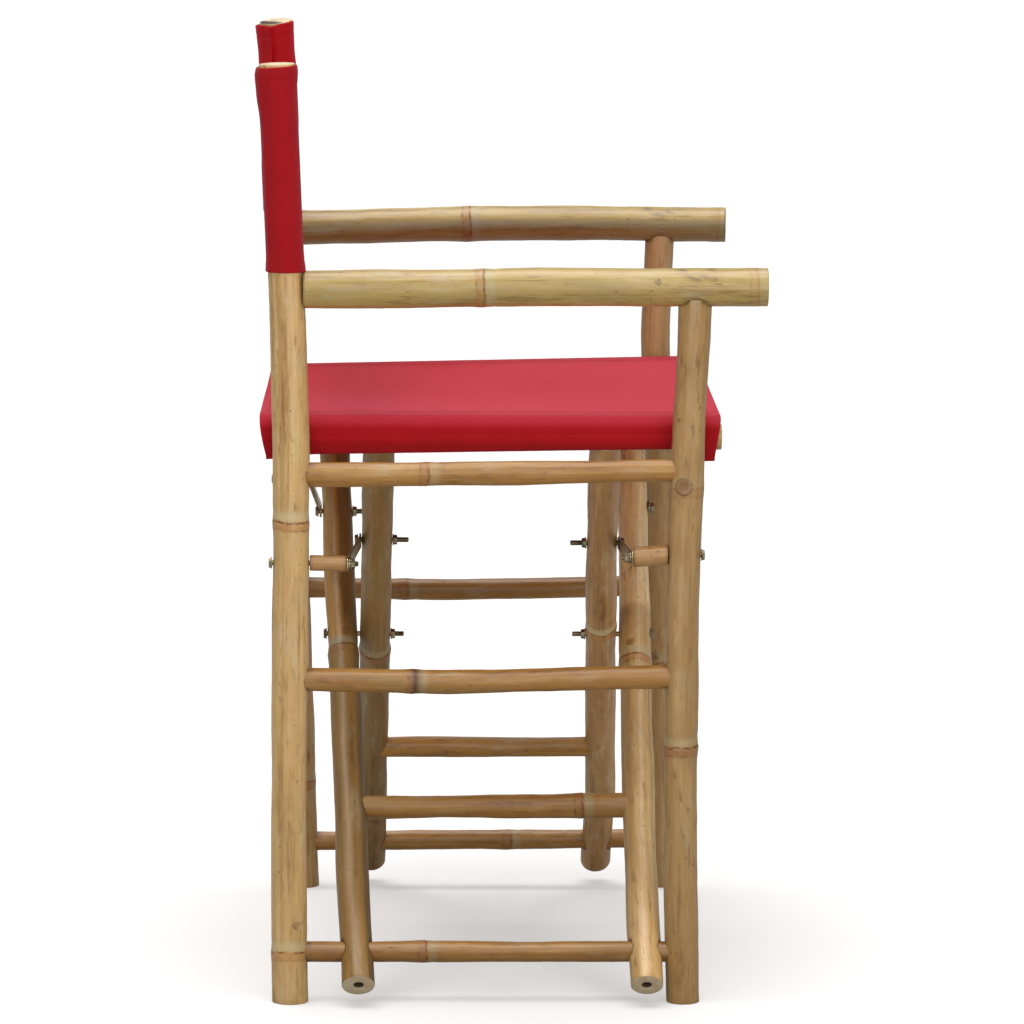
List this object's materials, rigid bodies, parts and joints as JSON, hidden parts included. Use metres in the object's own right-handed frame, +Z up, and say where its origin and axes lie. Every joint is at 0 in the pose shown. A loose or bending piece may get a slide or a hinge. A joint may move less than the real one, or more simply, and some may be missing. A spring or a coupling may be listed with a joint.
{
  "type": "folding director chair",
  "caption": "Folding director chair with bamboo side frames, crossed bamboo legs, flat metal links and a sling canvas seat and backrest.",
  "frame": {"origin": "on the floor, below the middle of the open chair's bounding box", "axes": "+X forward, the way the sitter faces; +Y to the sitter's left; +Z up"},
  "size_m": [0.477, 0.6162, 0.88],
  "materials": {
    "bamboo_pale": "satin varnished pale bamboo",
    "bamboo_brown": "satin varnished brown bamboo",
    "bamboo_orange": "satin varnished warm bamboo",
    "canvas": "matt woven red canvas",
    "zinc_steel": "yellow zinc plated steel"
  },
  "bodies": {
    "near_side_frame": {"near_rear_post": "bamboo_pale", "near_front_post": "bamboo_pale", "near_armrest": "bamboo_pale", "near_upper_rail": "bamboo_orange", "near_middle_rail": "bamboo_orange", "near_bottom_rail": "bamboo_orange", "near_rear_post_washer": "zinc_steel", "near_rear_post_nut": "zinc_steel", "near_rear_post_bolt": "zinc_steel", "near_front_post_washer": "zinc_steel", "near_front_post_nut": "zinc_steel", "near_front_post_bolt": "zinc_steel", "near_rear_spacer": "bamboo_orange", "near_front_spacer": "bamboo_orange", "backrest_canvas": "canvas"},
    "leg_frame_b": {"leg_b_rear": "bamboo_brown", "leg_b_front": "bamboo_brown", "rung_b": "bamboo_orange", "seat_rail_b": "bamboo_orange", "cross_rear_bolt": "zinc_steel", "cross_rear_nut": "zinc_steel", "cross_front_bolt": "zinc_steel", "cross_front_nut": "zinc_steel", "far_rear_leg_bolt": "zinc_steel", "far_rear_leg_nut": "zinc_steel", "far_front_leg_bolt": "zinc_steel", "far_front_leg_nut": "zinc_steel"},
    "leg_frame_a": {"leg_a_rear": "bamboo_brown", "leg_a_front": "bamboo_brown", "rung_a": "bamboo_orange", "seat_rail_a": "bamboo_orange", "seat_canvas": "canvas", "near_rear_leg_bolt": "zinc_steel", "near_rear_leg_nut": "zinc_steel", "near_front_leg_bolt": "zinc_steel", "near_front_leg_nut": "zinc_steel"},
    "far_side_frame": {"far_rear_post": "bamboo_pale", "far_front_post": "bamboo_pale", "far_armrest": "bamboo_pale", "far_upper_rail": "bamboo_orange", "far_middle_rail": "bamboo_orange", "far_bottom_rail": "bamboo_orange", "far_rear_post_washer": "zinc_steel", "far_rear_post_nut": "zinc_steel", "far_rear_post_bolt": "zinc_steel", "far_front_post_washer": "zinc_steel", "far_front_post_nut": "zinc_steel", "far_front_post_bolt": "zinc_steel"},
    "near_rear_link": {"near_rear_link": "zinc_steel"},
    "near_front_link": {"near_front_link": "zinc_steel"},
    "far_rear_link": {"far_rear_link": "zinc_steel"},
    "far_front_link": {"far_front_link": "zinc_steel"}
  },
  "joints": [
    {"name": "near_foot_pivot", "type": "hinge", "parent": "near_side_frame", "child": "leg_frame_b", "pos_m": [0, -0.27, 0.0475], "axis": [1, 0, 0], "range_deg": [0, 32.76]},
    {"name": "fold", "type": "hinge", "parent": "leg_frame_b", "child": "leg_frame_a", "pos_m": [0, 0, 0.305], "axis": [-1, 0, 0], "range_deg": [0, 70], "deforming": ["seat_canvas", "backrest_canvas"]},
    {"name": "far_foot_pivot", "type": "hinge", "parent": "leg_frame_a", "child": "far_side_frame", "pos_m": [0, 0.27, 0.0475], "axis": [1, 0, 0], "range_deg": [0, 32.76]},
    {"name": "near_rear_link_pivot", "type": "hinge", "parent": "near_side_frame", "child": "near_rear_link", "pos_m": [0, -0.27, 0.4185], "axis": [1, 0, 0], "range_deg": [0, 68.78]},
    {"name": "near_front_link_pivot", "type": "hinge", "parent": "near_side_frame", "child": "near_front_link", "pos_m": [0, -0.27, 0.4255], "axis": [1, 0, 0], "range_deg": [0, 70.15]},
    {"name": "far_rear_link_pivot", "type": "hinge", "parent": "far_side_frame", "child": "far_rear_link", "pos_m": [0, 0.27, 0.4185], "axis": [-1, 0, 0], "range_deg": [0, 68.78]},
    {"name": "far_front_link_pivot", "type": "hinge", "parent": "far_side_frame", "child": "far_front_link", "pos_m": [0, 0.27, 0.4255], "axis": [-1, 0, 0], "range_deg": [0, 70.15]}
  ],
  "couplings": [
    {"joint": "near_foot_pivot", "follows": "fold", "ratio": 0.468},
    {"joint": "far_foot_pivot", "follows": "fold", "ratio": 0.468},
    {"joint": "near_rear_link_pivot", "follows": "fold", "ratio": 0.98263},
    {"joint": "near_front_link_pivot", "follows": "fold", "ratio": 1.0021},
    {"joint": "far_rear_link_pivot", "follows": "fold", "ratio": 0.98263},
    {"joint": "far_front_link_pivot", "follows": "fold", "ratio": 1.0021}
  ]
}
